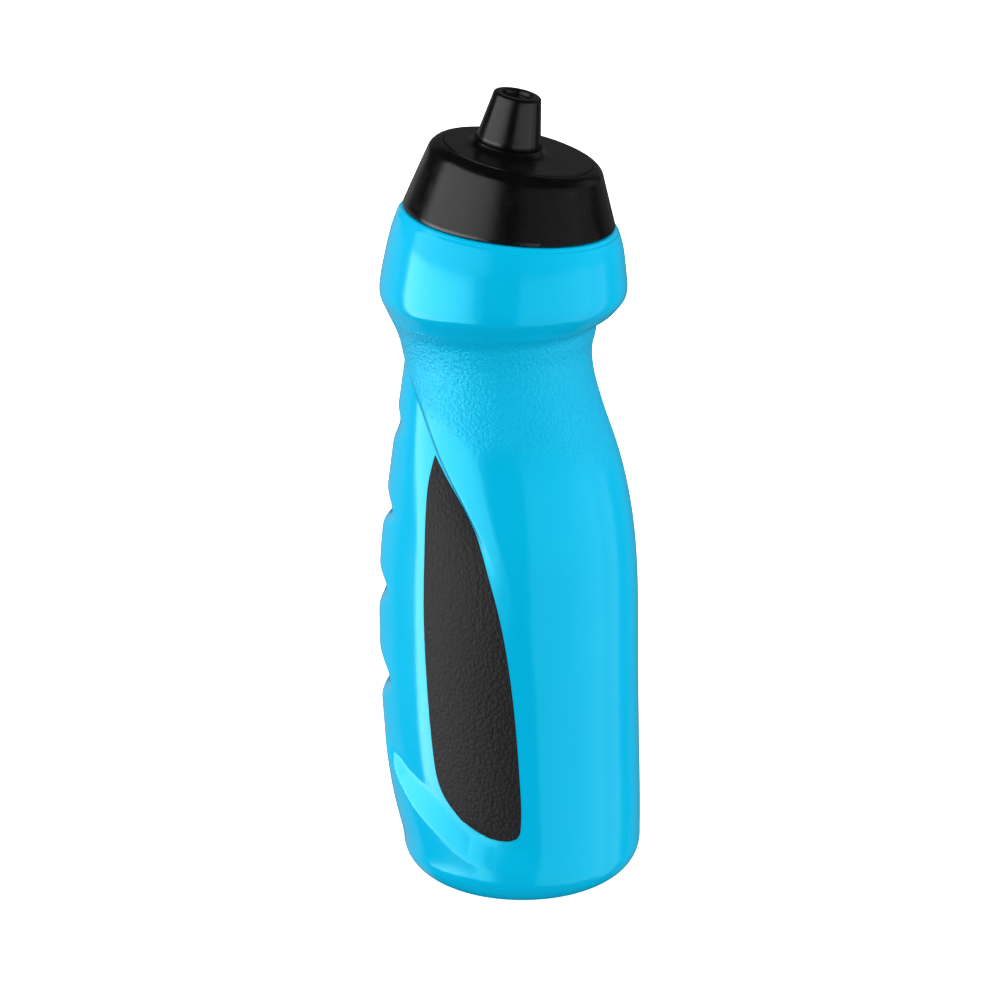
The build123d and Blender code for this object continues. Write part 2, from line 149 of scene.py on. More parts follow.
# -------------------------------------------------------------- small helpers
def smooth_curve(rows):
    """Natural cubic through rows of (place, value, ...). Returns a function of an array of places."""
    table = np.array(rows, float)
    place, value = table[:, 0], table[:, 1:]
    gap = np.diff(place)
    system, right = np.eye(len(place)), np.zeros_like(value)
    for i in range(1, len(place) - 1):
        system[i, i - 1 : i + 2] = gap[i - 1], 2 * (gap[i - 1] + gap[i]), gap[i]
        rise, run_up = value[i + 1] - value[i], value[i] - value[i - 1]
        right[i] = 6 * (rise / gap[i] - run_up / gap[i - 1])
    bend = np.linalg.solve(system, right)

    def at(x):
        x = np.clip(np.asarray(x, float), place[0], place[-1])
        i = np.clip(np.searchsorted(place, x) - 1, 0, len(gap) - 1)
        g = gap[i][..., None]
        before, after = (x - place[i])[..., None], (place[i + 1] - x)[..., None]
        cubic = (bend[i] * after**3 + bend[i + 1] * before**3) / (6 * g)
        line = (value[i] / g - bend[i] * g / 6) * after
        line = line + (value[i + 1] / g - bend[i + 1] * g / 6) * before
        return cubic + line

    return at


def ease(low, high, x):
    """0 below low, 1 above high, and a smooth step between."""
    t = np.clip((x - low) / (high - low), 0, 1)
    return t * t * (3 - 2 * t)


def column(rows, x, index=1):
    """Straight-line reading of one column of a table of (place, ...) rows."""
    table = np.array(rows, float)
    return np.interp(x, table[:, 0], table[:, index])


def on_axis(x, z, lean, height, radius):
    """Ring at a height along an axis that starts at (x, z) and leans to the front."""
    angle = math.radians(lean)
    return (x + height * math.sin(angle), z + height * math.cos(angle), lean, radius, radius)


def arc(centre_r, centre_h, radius, start, end, steps):
    """(radius, height) points of an arc, angles in degrees from the outward direction."""
    turns = np.radians(np.linspace(start, end, steps))
    return [(centre_r + radius * math.cos(t), centre_h + radius * math.sin(t)) for t in turns]


def ring_points(rings, angles):
    """Points of every ring at every angle, in mm, as an array (ring, angle, xyz)."""
    x, z, lean, a, b = [c[:, None] for c in np.array(rings, float).T]
    lean = np.radians(lean)
    along, across = a * np.cos(angles), b * np.sin(angles)
    return np.stack([x + along * np.cos(lean), across, z - along * np.sin(lean)], axis=-1)


def skin(name, points, closed=False, shade=60.0):
    """Mesh over a grid of rings. closed joins the last ring to the first; if not, poles end it."""
    rings, columns = points.shape[:2]
    verts = (points.reshape(-1, 3) * MM).tolist()
    faces = []
    for i in range(rings if closed else rings - 1):
        low, high = i * columns, (i + 1) % rings * columns
        for j in range(columns):
            k = (j + 1) % columns
            faces.append((low + j, low + k, high + k, high + j))
    if not closed:
        for ring, flip in ((0, True), (rings - 1, False)):
            pole = len(verts)
            verts.append((points[ring].mean(axis=0) * MM).tolist())
            for j in range(columns):
                edge = (ring * columns + j, ring * columns + (j + 1) % columns)
                faces.append((*(edge[::-1] if flip else edge), pole))
    mesh = bpy.data.meshes.new(name)
    mesh.from_pydata(verts, [], faces)
    piece = bpy.data.objects.new(name, mesh)
    bpy.context.scene.collection.objects.link(piece)
    face_outwards(piece)
    smooth(piece, shade)
    return piece


def face_outwards(piece):
    """Turns the faces of a closed mesh outwards."""
    work = bmesh.new()
    work.from_mesh(piece.data)
    bmesh.ops.recalc_face_normals(work, faces=work.faces)
    if work.calc_volume(signed=True) < 0:
        bmesh.ops.reverse_faces(work, faces=work.faces)
    work.to_mesh(piece.data)
    work.free()


def smooth(piece, sharp_angle):
    """Smooth shading with sharp edges where faces meet more steeply than an angle in degrees."""
    mesh = piece.data
    mesh.polygons.foreach_set("use_smooth", [True] * len(mesh.polygons))
    mesh.set_sharp_from_angle(angle=math.radians(sharp_angle))


def even_angles(columns):
    return np.linspace(-math.pi, math.pi, columns, endpoint=False)


def finish_piece(piece, material, body, slot, *nodes):
    """Gives a piece its material and body, and hides the CAD nodes that it stands for. slot is not used."""
    piece.data.materials.clear()
    piece.data.materials.append(material)
    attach(piece, body)
    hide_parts(*nodes)
    return piece


# ------------------------------------------------------------------ materials
def srgb(text):
    """Linear colour of an sRGB hex value."""
    parts = [int(text[i : i + 2], 16) / 255 for i in (1, 3, 5)]
    linear = [c / 12.92 if c <= 0.04045 else ((c + 0.055) / 1.055) ** 2.4 for c in parts]
    return (*linear, 1.0)


def add(tree, kind, links=(), values=(), **settings):
    """Adds a node, sets its properties and input values, and links its inputs."""
    node = tree.nodes.new(kind)
    for key, value in settings.items():
        setattr(node, key, value)
    for socket, value in dict(values).items():
        node.inputs[socket].default_value = value
    for socket, source in dict(links).items():
        tree.links.new(source, node.inputs[socket])
    return node


def new_material(name, **values):
    """Material with one Principled shader; returns it with its tree and the shader."""
    material = bpy.data.materials.new(name)
    material.use_nodes = True
    tree = material.node_tree
    shader = tree.nodes["Principled BSDF"]
    for socket, value in values.items():
        shader.inputs[socket.replace("_", " ")].default_value = value
    return material, tree, shader


def grained_polyethylene():
    """Blown low-density polyethylene, dyed cyan: glossy mould skin, leather grain at the waist.

    The dye makes the wall opaque, and its gloss takes up some of the dye's own colour.
    """
    material, tree, shader = new_material(
        "blown_polyethylene_cyan", IOR=1.5, Specular_Tint=(0.2, 1.0, 1.0, 1.0)
    )
    place = add(tree, "ShaderNodeTexCoord").outputs["Object"]
    grain = add(tree, "ShaderNodeAttribute", attribute_name="grain").outputs["Fac"]
    # Slow drift of the dye, a few centimetres across
    drift = add(tree, "ShaderNodeTexNoise", {"Vector": place}, {"Scale": 28.0, "Detail": 2.0})
    tone = add(
        tree, "ShaderNodeMix", {"Factor": drift.outputs["Fac"]}, data_type="RGBA",
    )
    tone.inputs["A"].default_value = srgb("#00BDEE")
    tone.inputs["B"].default_value = srgb("#00C5F3")
    # Painted shade along the crease over the grip: a thin line behind it gets a darker colour and weaker gloss,
    # standing in for the shade in its sharp little valley
    crease = add(tree, "ShaderNodeAttribute", attribute_name="crease").outputs["Fac"]
    behind = add(tree, "ShaderNodeAttribute", attribute_name="behind_crease").outputs["Fac"]
    away = add(tree, "ShaderNodeMath", {0: behind}, {1: PAINTED_SHADE_OFFSET}, operation="SUBTRACT")
    near = add(tree, "ShaderNodeMath", {0: away.outputs[0]}, operation="ABSOLUTE")
    valley = add(
        tree, "ShaderNodeMapRange", {"Value": near.outputs[0], "To Min": crease},
        {"From Max": PAINTED_SHADE_WIDTH, "To Max": 0.0}, interpolation_type="SMOOTHSTEP",
    )
    crease_painted_shade_tone = add(
        tree, "ShaderNodeMix", {"Factor": valley.outputs[0], "A": tone.outputs["Result"]},
        data_type="RGBA",
    )
    # Painted shade colour of the line along the crease
    crease_painted_shade_tone.inputs["B"].default_value = srgb("#0082A8")
    tree.links.new(crease_painted_shade_tone.outputs["Result"], shader.inputs["Base Color"])
    # Weaker gloss along the same line, also painted shade
    dull = add(
        tree, "ShaderNodeMapRange", {"Value": valley.outputs[0]}, {"To Min": 0.5, "To Max": 0.1}
    )
    tree.links.new(dull.outputs[0], shader.inputs["Specular IOR Level"])
    # Leather grain: pebbles 0.9 mm across with finer wrinkles of 0.45 mm between them
    pebble = add(
        tree, "ShaderNodeTexNoise", {"Vector": place},
        {"Scale": 1 / 0.0009, "Detail": 2.0, "Roughness": 0.5},
    )
    height = add(
        tree, "ShaderNodeMath", {0: pebble.outputs["Fac"], 1: grain}, operation="MULTIPLY"
    )
    # Mould skin: long faint waves of a blown wall, about 9 mm apart
    wave = add(tree, "ShaderNodeTexNoise", {"Vector": place}, {"Scale": 1 / 0.009, "Detail": 1.0})
    skin_bump = add(
        tree, "ShaderNodeBump", {"Height": wave.outputs["Fac"]},
        {"Strength": 0.25, "Distance": 0.00008},
    )
    bump = add(
        tree,
        "ShaderNodeBump",
        {"Height": height.outputs[0], "Normal": skin_bump.outputs[0]},
        {"Strength": 1.0, "Distance": 0.0005},
    )
    tree.links.new(bump.outputs[0], shader.inputs["Normal"])
    rough = add(
        tree, "ShaderNodeMapRange", {"Value": grain}, {"To Min": 0.16, "To Max": 0.27}
    )
    tree.links.new(rough.outputs[0], shader.inputs["Roughness"])
    return material


def polished_polypropylene():
    """Injection-moulded black polypropylene: polished, with faint flow marks in its gloss."""
    material, tree, shader = new_material(
        "moulded_polypropylene_black", IOR=1.49, Specular_IOR_Level=0.35
    )
    shader.inputs["Base Color"].default_value = srgb("#080809")
    place = add(tree, "ShaderNodeTexCoord").outputs["Object"]
    flow = add(tree, "ShaderNodeTexNoise", {"Vector": place}, {"Scale": 1 / 0.004, "Detail": 4.0})
    rough = add(
        tree, "ShaderNodeMapRange", {"Value": flow.outputs["Fac"]},
        {"From Min": 0.3, "From Max": 0.7, "To Min": 0.2, "To Max": 0.3},
    )
    tree.links.new(rough.outputs[0], shader.inputs["Roughness"])
    fine = add(tree, "ShaderNodeTexNoise", {"Vector": place}, {"Scale": 1 / 0.0005, "Detail": 2.0})
    bump = add(
        tree, "ShaderNodeBump", {"Height": fine.outputs["Fac"]},
        {"Strength": 0.12, "Distance": 0.00004},
    )
    tree.links.new(bump.outputs[0], shader.inputs["Normal"])
    return material


def crackled_rubber():
    """Overmoulded thermoplastic rubber: dull, with painted shade that makes it darker in its cracks and lighter
    on its pebbles.
    """
    material, tree, shader = new_material(
        "moulded_rubber_crackle", Roughness=0.6, IOR=1.5, Specular_IOR_Level=0.2
    )
    place = add(tree, "ShaderNodeTexCoord").outputs["Object"]
    cells = add(
        tree, "ShaderNodeTexVoronoi", {"Vector": place}, {"Scale": 1 / 0.0013},
        feature="DISTANCE_TO_EDGE",
    )
    speck = add(
        tree, "ShaderNodeTexNoise", {"Vector": place}, {"Scale": 1 / 0.0006, "Detail": 3.0}
    )
    # Painted shade: the colour darkens along the cracks that the pad's geometry presses in, and is lighter on
    # the pebbles between them
    shade = add(
        tree, "ShaderNodeMapRange", {"Value": cells.outputs["Distance"]}, {"From Max": 0.12}
    )
    crack_painted_shade = add(tree, "ShaderNodeMix", {"Factor": shade.outputs[0]}, data_type="RGBA")
    crack_painted_shade.inputs["A"].default_value = srgb("#0B0A0C")
    crack_painted_shade.inputs["B"].default_value = srgb("#1A191C")
    tree.links.new(crack_painted_shade.outputs["Result"], shader.inputs["Base Color"])
    bump = add(
        tree, "ShaderNodeBump", {"Height": speck.outputs["Fac"]},
        {"Strength": 0.5, "Distance": 0.0001},
    )
    tree.links.new(bump.outputs[0], shader.inputs["Normal"])
    return material


def moulded_silicone():
    """Slightly translucent grey silicone of the gasket and the O-ring, matt from its mould."""
    material, tree, shader = new_material(
        "moulded_silicone_grey", Roughness=0.5, IOR=1.41, Subsurface_Weight=0.15
    )
    shader.inputs["Base Color"].default_value = srgb("#C4C6C8")
    place = add(tree, "ShaderNodeTexCoord").outputs["Object"]
    matt = add(tree, "ShaderNodeTexNoise", {"Vector": place}, {"Scale": 1 / 0.0008, "Detail": 2.0})
    bump = add(
        tree, "ShaderNodeBump", {"Height": matt.outputs["Fac"]},
        {"Strength": 0.2, "Distance": 0.00005},
    )
    tree.links.new(bump.outputs[0], shader.inputs["Normal"])
    return material


cyan = grained_polyethylene()
black = polished_polypropylene()
rubber = crackled_rubber()
silicone = moulded_silicone()

# --------------------------------------------------------------- bottle body
body_at = smooth_curve(BODY)
recess_front_at = smooth_curve(RECESS_FRONT)
crease_at = smooth_curve(CREASE)


def recess_depth(x, z):
    """Depth of the flank recess at a place on a flank, measured into the wall."""
    centre, half_length = body_at(z)[..., 0], body_at(z)[..., 1]
    soft = RECESS_SOFT + (RECESS_SOFT_BELOW - RECESS_SOFT) * (1 - ease(*RECESS_SHARP, z))
    reach = recess_front_at(z)[..., 0] - x
    lip = RECESS_LIP * soft * np.exp(-((reach / soft) ** 2))
    reach = 0.5 * (reach + np.sqrt(reach**2 + soft**2)) - lip
    scoop = RECESS_STEP * (1 - np.exp(-np.maximum(reach, 0) / RECESS_RUN)) + RECESS_SLOPE * reach
    scoop *= 1 - RECESS_EASED * ease(*RECESS_SHALLOW, z)
    # Towards the back it runs out over the round of the body
    off_back = np.degrees(np.arccos(np.clip((centre - x) / half_length, -1, 1)))
    scoop *= ease(*RECESS_TURN, off_back) * (1 - ease(*RECESS_TOP, z))
    start, end = column(RECESS_FOOT, x, 1), column(RECESS_FOOT, x, 2)
    foot = np.clip((z - start) / (end - start), 0, 1)
    behind = crease_at(z)[..., 0] - x
    strength = CREASE_DEPTH * ease(*CREASE_FOOT, z) * (1 - ease(*CREASE_TOP, z))
    step = strength * ease(0, CREASE_EDGE, behind)
    step *= np.exp(-np.maximum(behind - CREASE_EDGE, 0) / CREASE_FADE)
    return np.maximum(scoop, 0) * foot + step


def groove_depth(x, y, z):
    """Depth of the finger grooves, deepest at the back and running out towards the flanks."""
    centre = body_at(z)[..., 0]
    away = np.degrees(np.arctan2(np.abs(y), centre - x)) / GROOVE_REACH
    reach = np.clip(1 - away**2, 0, 1)
    depth = np.zeros_like(z)
    for height, valley, above, below in GROOVES:
        offset = z - height
        u = np.clip(np.where(offset > 0, offset / above, -offset / below), 0, 1)
        depth = np.maximum(depth, valley * np.cos(u * math.pi / 2) ** 2)
    return reach * depth


def deeper(a, b, soft=0.12):
    """The greater of two depths, with a soft edge where they meet."""
    return 0.5 * (a + b + np.sqrt((a - b) ** 2 + soft**2) - soft)


def inward(points):
    """Level unit vectors into the body, for points on its oval sections."""
    row = body_at(points[..., 2])
    nx = (points[..., 0] - row[..., 0]) / row[..., 1] ** 2
    ny = points[..., 1] / row[..., 2] ** 2
    length = np.hypot(nx, ny)
    return np.stack([-nx / length, -ny / length, np.zeros_like(nx)], axis=-1)


def carve(points):
    """Presses the grooves and the recesses into points of the plain body."""
    x, y, z = points[..., 0], points[..., 1], points[..., 2]
    depth = deeper(groove_depth(x, y, z), recess_depth(x, z))
    return points + inward(points) * np.maximum(depth, 0)[..., None]


def leaning_rings(rows):
    """Rings of the body at centre heights; above the collar's foot they lean as the rim does."""
    rings = []
    for z, x, a, b in rows:
        lean = NECK_LEAN * max(0.0, z - COLLAR_FOOT) / (RIM_Z - COLLAR_FOOT)
        rings.append((x, z, lean, a, b))
    return rings


def rim_ring(height, radius):
    return on_axis(RIM_X, RIM_Z, NECK_LEAN, height, radius)


def raise_thread(points, rings, rows, heights, angles, start, root, outward):
    """Right-hand thread of one and a half turns with tapered ends, on rings of one root radius."""
    for i, height in zip(rows, heights):
        lift = np.zeros(len(angles))
        for whole in (0, 1):
            turns = angles / (2 * math.pi) + 0.5 + whole
            off = np.abs(height - (start + PITCH * turns))
            taper = ease(0, THREAD_RUN_OUT, turns)
            taper *= 1 - ease(THREAD_TURNS - THREAD_RUN_OUT, THREAD_TURNS, turns)
            lift = np.maximum(lift, taper * np.clip((RIDGE_HALF - off) / RIDGE_SLOPE, 0, 1))
        centre = np.array([rings[i][0], 0, rings[i][1]])
        lift *= outward * (NECK_CREST - NECK_ROOT) / root
        points[i] += (points[i] - centre) * lift[:, None]


def build_body():
    """The blown bottle in one skin: base, wall, rim, threaded neck and the inside of the wall."""
    columns = 268
    s = even_angles(columns)
    # Closer columns on the flanks, where the creases are
    angles = s + 0.12 * np.sin(s) + 0.2 * np.sin(2 * s)

    dome = (1.0, 5.0, 10.0, 15.0, 19.0, 21.4)
    under = [(r, PUSH_UP_HEIGHT * (1 - (r / PUSH_UP_RADIUS) ** 2)) for r in dome]
    under += [(22.2, 0.03), (23.0, 0.0), (25.0, 0.0)]
    under += arc(BASE_RADIUS - BASE_ROUND, BASE_ROUND, BASE_ROUND, -88, -4, 13)
    rings = [(BASE_X, z, 0.0, r, r) for r, z in under]
    wall = np.concatenate([np.arange(BASE_ROUND, 168, 0.8), np.arange(168, 203.4, 0.6)])
    first_wall = len(rings)
    rings += leaning_rings([(z, *body_at(z)) for z in wall])
    last_wall = len(rings)
    rim = arc(RIM_RADIUS - RIM_ROUND, -RIM_ROUND, RIM_ROUND, 12, 90, 6)
    rim += [(28.0, 0.0), (25.0, 0.0), (NECK_ROOT + 0.8, 0.0), (NECK_ROOT + 0.2, 0.2)]
    rings += [rim_ring(h, r) for r, h in rim]
    first_neck = len(rings)
    neck = np.arange(0.8, NECK_HEIGHT - 0.3, 0.36)
    rings += [rim_ring(h, NECK_ROOT) for h in neck]
    last_neck = len(rings)
    lip = arc(NECK_ROOT - 0.4, NECK_HEIGHT - 0.4, 0.4, 0, 90, 4)
    lip += arc(NECK_BORE + 0.4, NECK_HEIGHT - 0.4, 0.4, 90, 180, 4)
    lip += [(NECK_BORE, 6.0), (NECK_BORE, -1.0), (NECK_BORE + 1.0, -1.5), (RIM_RADIUS - 3.2, -1.7)]
    rings += [rim_ring(h, r) for r, h in lip]
    inside = [198.0, 192.0, 186.0, 183.0, 180.0, 177.0, 173.0, 168.0, 162.0, 155.0]
    for z in inside + list(range(146, 9, -12)):
        x, a, b = body_at(z)
        inset = 1.5 + 2.3 * float(1 - ease(150, 176, z))
        rings += leaning_rings([(z, x, a - inset, b - inset)])
    bottom = arc(BASE_RADIUS - BASE_ROUND, BASE_ROUND, BASE_ROUND - 3.0, -20, -88, 6)
    bottom += [(22.0, 3.5), (12.0, 4.4), (1.0, 4.6)]
    rings += [(BASE_X, z, 0.0, r, r) for r, z in bottom]

    points = ring_points(rings, angles)
    outer = points[first_wall:last_wall]
    low = outer[..., 2] < 178
    carved = carve(outer)
    points[first_wall:last_wall] = np.where(low[..., None], carved, outer)

    rows = range(first_neck, last_neck)
    raise_thread(points, rings, rows, neck, angles, NECK_THREAD_START, NECK_ROOT, 1)
    piece = skin("bottle_shell", points, shade=50)
    flat = points.reshape(-1, 3)
    ring_index = np.repeat(np.arange(len(rings)), columns)
    outside = (ring_index >= first_wall) & (ring_index < last_wall)
    low_edge = column(GRAIN_LOW, flat[:, 0])
    mask = ease(*GRAIN_START, flat[:, 2] - low_edge)
    mask *= 1 - ease(GRAIN_TOP - GRAIN_END, GRAIN_TOP, flat[:, 2])
    # Painted shade line along the crease: the heights where it runs, and how far each point lies behind the
    # crease
    line = outside * ease(*PAINTED_SHADE_FOOT, flat[:, 2]) * (1 - ease(*PAINTED_SHADE_TOP, flat[:, 2]))
    behind = np.clip(crease_at(flat[:, 2])[:, 0] - flat[:, 0], -9, 9)
    for label, field in (("grain", mask * outside), ("crease", line), ("behind_crease", behind)):
        values = np.zeros(len(piece.data.vertices), np.float32)
        values[: len(field)] = field
        piece.data.attributes.new(label, "FLOAT", "POINT").data.foreach_set("value", values)
    return finish_piece(piece, cyan, "bottle", "blue_body", "bottle_body", "bottle_neck")


build_body()


# ------------------------------------------------------------------ grip pads
def flank_surface(x, z):
    """Points of the carved near flank (-Y) at arrays of x and z."""
    row = body_at(z)
    t = np.clip((x - row[..., 0]) / row[..., 1], -0.999, 0.999)
    y = -row[..., 2] * np.sqrt(1 - t**2)
    points = np.stack([x, y, z], axis=-1)
    return points, inward(points), recess_depth(x, z)


def crackle_tree(material):
    """Geometry Nodes: presses polygonal cracks into the face of a pad."""
    tree = bpy.data.node_groups.new("crackle", "GeometryNodeTree")
    tree.interface.new_socket("Geometry", in_out="INPUT", socket_type="NodeSocketGeometry")
    for label, value in (("Cell Size", 0.0013), ("Crack Width", 0.14), ("Crack Depth", 0.00018)):
        socket = tree.interface.new_socket(label, in_out="INPUT", socket_type="NodeSocketFloat")
        socket.default_value = value
    tree.interface.new_socket("Geometry", in_out="OUTPUT", socket_type="NodeSocketGeometry")
    given = add(tree, "NodeGroupInput").outputs
    place = add(tree, "GeometryNodeInputPosition").outputs[0]
    scale = add(tree, "ShaderNodeMath", {1: given["Cell Size"]}, {0: 1.0}, operation="DIVIDE")
    cells = add(
        tree, "ShaderNodeTexVoronoi", {"Vector": place, "Scale": scale.outputs[0]},
        feature="DISTANCE_TO_EDGE",
    )
    crack = add(
        tree, "ShaderNodeMapRange",
        {"Value": cells.outputs["Distance"], "From Max": given["Crack Width"]},
        {"To Min": -1.0, "To Max": 0.0}, interpolation_type="SMOOTHSTEP",
    )
    face = add(
        tree, "GeometryNodeInputNamedAttribute", values={"Name": "face"}, data_type="FLOAT"
    )
    depth = add(
        tree, "ShaderNodeMath", {0: crack.outputs[0], 1: given["Crack Depth"]}, operation="MULTIPLY"
    )
    masked = add(
        tree, "ShaderNodeMath", {0: depth.outputs[0], 1: face.outputs["Attribute"]},
        operation="MULTIPLY",
    )
    normal = add(tree, "GeometryNodeInputNormal").outputs[0]
    push = add(
        tree, "ShaderNodeVectorMath", {0: normal, "Scale": masked.outputs[0]}, operation="SCALE"
    )
    moved = add(
        tree, "GeometryNodeSetPosition", {"Geometry": given["Geometry"], "Offset": push.outputs[0]}
    )
    real = add(tree, "GeometryNodeRealizeInstances", {"Geometry": moved.outputs[0]})
    painted = add(
        tree, "GeometryNodeSetMaterial", {"Geometry": real.outputs[0]}, {"Material": material}
    )
    add(tree, "NodeGroupOutput", {"Geometry": painted.outputs[0]})
    return tree


def build_pad(name, side, node, tree):
    """One grip pad: a crowned face over the recess and a back sunk into the wall."""
    z0, z1 = PAD_LEFT[0][0], PAD_LEFT[-1][0]
    rows, cols = 340, 110
    s = np.linspace(0, 1, rows)
    # Rows close up towards the rounded foot and the tip
    z = z0 + (z1 - z0) * (0.5 - 0.5 * np.cos(math.pi * s) + 3.0 * s) / 4.0
    left, right = column(PAD_LEFT, z), column(PAD_RIGHT, z)
    left = smooth_curve(PAD_LEFT[3:])(z)[:, 0] * ease(27, 33, z) + left * (1 - ease(27, 33, z))
    right = smooth_curve(PAD_RIGHT[3:])(z)[:, 0] * ease(25, 30, z) + right * (1 - ease(25, 30, z))
    across = 0.5 - 0.5 * np.cos(math.pi * np.linspace(0, 1, cols))
    across = 0.35 * across + 0.65 * np.linspace(0, 1, cols)
    x = left[:, None] + (right - left)[:, None] * across
    z = np.repeat(z[:, None], cols, axis=1)
    outline = np.concatenate(
        [np.stack([left, z[:, 0]], 1), np.stack([right, z[:, 0]], 1)]
    )
    flat = np.stack([x, z], -1).reshape(-1, 1, 2)
    edge = np.full(len(flat), 1e9)
    for chunk in np.array_split(np.arange(len(flat)), 40):
        edge[chunk] = np.linalg.norm(flat[chunk] - outline[None], axis=2).min(axis=1)
    edge = edge.reshape(x.shape)
    points, inwards, depth = flank_surface(x, z)
    inner = np.clip(edge, 0, PAD_EDGE)
    crown = np.sqrt(np.maximum(PAD_EDGE**2 - (PAD_EDGE - inner) ** 2, 0)) - PAD_EDGE + PAD_PROUD
    face = points + inwards * (depth - crown)[..., None]
    back = points + inwards * (depth + PAD_SINK)[..., None]
    if side > 0:
        face[..., 1] *= -1
        back[..., 1] *= -1

    count = rows * cols
    verts = (np.concatenate([face.reshape(-1, 3), back.reshape(-1, 3)]) * MM).tolist()
    faces = []
    for i in range(rows - 1):
        for j in range(cols - 1):
            a = i * cols + j
            quad = (a, a + 1, a + cols + 1, a + cols)
            faces.append(quad)
            faces.append(tuple(v + count for v in quad[::-1]))
    rim = list(range(cols)) + [i * cols + cols - 1 for i in range(1, rows)]
    rim += [(rows - 1) * cols + j for j in range(cols - 2, -1, -1)]
    rim += [i * cols for i in range(rows - 2, 0, -1)]
    for a, b in zip(rim, rim[1:] + rim[:1]):
        faces.append((b, a, a + count, b + count))
    mesh = bpy.data.meshes.new(name + "_plain")
    mesh.from_pydata(verts, [], faces)
    face_mask = np.concatenate([ease(0.1, 0.9, edge).ravel(), np.zeros(count)]).astype(np.float32)
    mesh.attributes.new("face", "FLOAT", "POINT").data.foreach_set("value", face_mask)
    plain = bpy.data.objects.new(name + "_plain", mesh)
    bpy.context.scene.collection.objects.link(plain)
    work = bmesh.new()
    work.from_mesh(mesh)
    bmesh.ops.remove_doubles(work, verts=work.verts, dist=0.00002)
    bmesh.ops.recalc_face_normals(work, faces=work.faces)
    work.to_mesh(mesh)
    work.free()
    plain.modifiers.new("crackle", "NODES").node_group = tree
    evaluated = plain.evaluated_get(bpy.context.evaluated_depsgraph_get())
    final = bpy.data.meshes.new_from_object(evaluated)
    final.name = name
    piece = bpy.data.objects.new(name, final)
    bpy.context.scene.collection.objects.link(piece)
    bpy.data.objects.remove(plain)
    smooth(piece, 70)
    return finish_piece(piece, rubber, "bottle", "grip_rubber", node)


crackle = crackle_tree(rubber)
build_pad("grip_right", -1, "grip_pad_right", crackle)
build_pad("grip_left", 1, "grip_pad_left", crackle)

# ------------------------------------------------------------------- the lid
LID_RADIUS, LID_DRAFT, LID_LIFT_OFF, LID_WALL = 31.0, 18.4, 0.3, 1.8
SHOULDER_ROUND, SHOULDER_CENTRE = 4.4, 21.65
BOSS_BACK, BOSS_HEIGHT, BOSS_RADIUS, BOSS_FLARE, BOSS_ROUND = 3.4, 2.0, 9.8, 12.6, 3.0
NOZZLE_FOOT, NOZZLE_TOP, NOZZLE_HEIGHT, NOZZLE_ROUND = 9.55, 6.85, 16.6, 0.9


def deck_ring(height, radius, back=0.0):
    """Ring at a height over the slanted deck, moved back along it."""
    angle = math.radians(DECK_LEAN)
    x, z = DECK_X - back * math.cos(angle), DECK_Z + back * math.sin(angle)
    return on_axis(x, z, DECK_LEAN, height, radius)


def build_lid_shell():
    """Sloping skirt with a round shoulder, the deck's seat, and the threaded inner skirt."""
    angles = even_angles(192)
    foot = ((1.5, 0.0), (0.45, 0.0), (0.12, 0.13), (0.0, 0.45))
    rings = [rim_ring(LID_LIFT_OFF + h, LID_RADIUS - r) for r, h in foot]
    shoulder = arc(SHOULDER_CENTRE, -SHOULDER_ROUND, SHOULDER_ROUND, LID_DRAFT, 85.4, 14)
    low, high = np.array(rings[-1]), np.array(deck_ring(shoulder[0][1], shoulder[0][0]))
    rings += [tuple(low + (high - low) * t) for t in (0.06, 0.3, 0.6, 0.9)]
    rings += [deck_ring(h, r) for r, h in shoulder]
    seat = ((DECK_RADIUS + 0.02, -0.1), (DECK_RADIUS, -0.2), (DECK_RADIUS, -2.2), (17.0, -2.2))
    rings += [deck_ring(h, r) for r, h in seat]
    rings += [rim_ring(h, r) for r, h in ((17.0, 14.1), (LID_THREAD_ROOT, 14.1))]
    first_thread = len(rings)
    thread = np.arange(13.6, 1.2, -0.4)
    rings += [rim_ring(h, LID_THREAD_ROOT) for h in thread]
    skirt = ((LID_THREAD_ROOT, 1.0), (25.8, 1.0), (25.8, 8.0), (26.5, 8.0))
    rings += [rim_ring(h, r) for r, h in skirt]
    rings += [rim_ring(LID_LIFT_OFF, LID_RADIUS - LID_WALL)]
    points = ring_points(rings, angles)
    rows = range(first_thread, first_thread + len(thread))
    raise_thread(points, rings, rows, thread, angles, LID_THREAD_START, LID_THREAD_ROOT, -1)
    piece = skin("lid_skirt", points, closed=True, shade=40)
    return finish_piece(piece, black, "lid", "black_lid", "lid_shell")


def build_lid_deck():
    """Inset disc of the deck; its boss flares out round the nozzle's foot."""
    angles = even_angles(160)
    seat = ((5.95, -2.2), (5.95, 1.85), (6.1, BOSS_HEIGHT), (BOSS_RADIUS - 0.5, BOSS_HEIGHT))
    rings = [deck_ring(h, r, BOSS_BACK) for r, h in seat]
    crown = arc(BOSS_RADIUS - 0.5, BOSS_HEIGHT - 0.5, 0.5, 80, 0, 6)
    rings += [deck_ring(h, r, BOSS_BACK) for r, h in crown]
    flare = arc(BOSS_FLARE, DECK_PROUD + BOSS_ROUND, BOSS_ROUND, 207, 268, 12)
    rings += [deck_ring(h, r, BOSS_BACK) for r, h in flare]
    edge = DECK_RADIUS - 0.12
    for r in (14.5, 18.0, 20.5):
        rings.append(deck_ring(DECK_PROUD, r, BOSS_BACK * (edge - r) / (edge - BOSS_FLARE)))
    rings += [deck_ring(DECK_PROUD - 0.25 + h, r) for r, h in arc(edge - 0.25, 0.0, 0.25, 90, 0, 5)]
    rings += [deck_ring(-2.2, edge)]
    piece = skin("deck_disc", ring_points(rings, angles), closed=True, shade=40)
    return finish_piece(piece, black, "lid", "black_lid", "lid_deck")


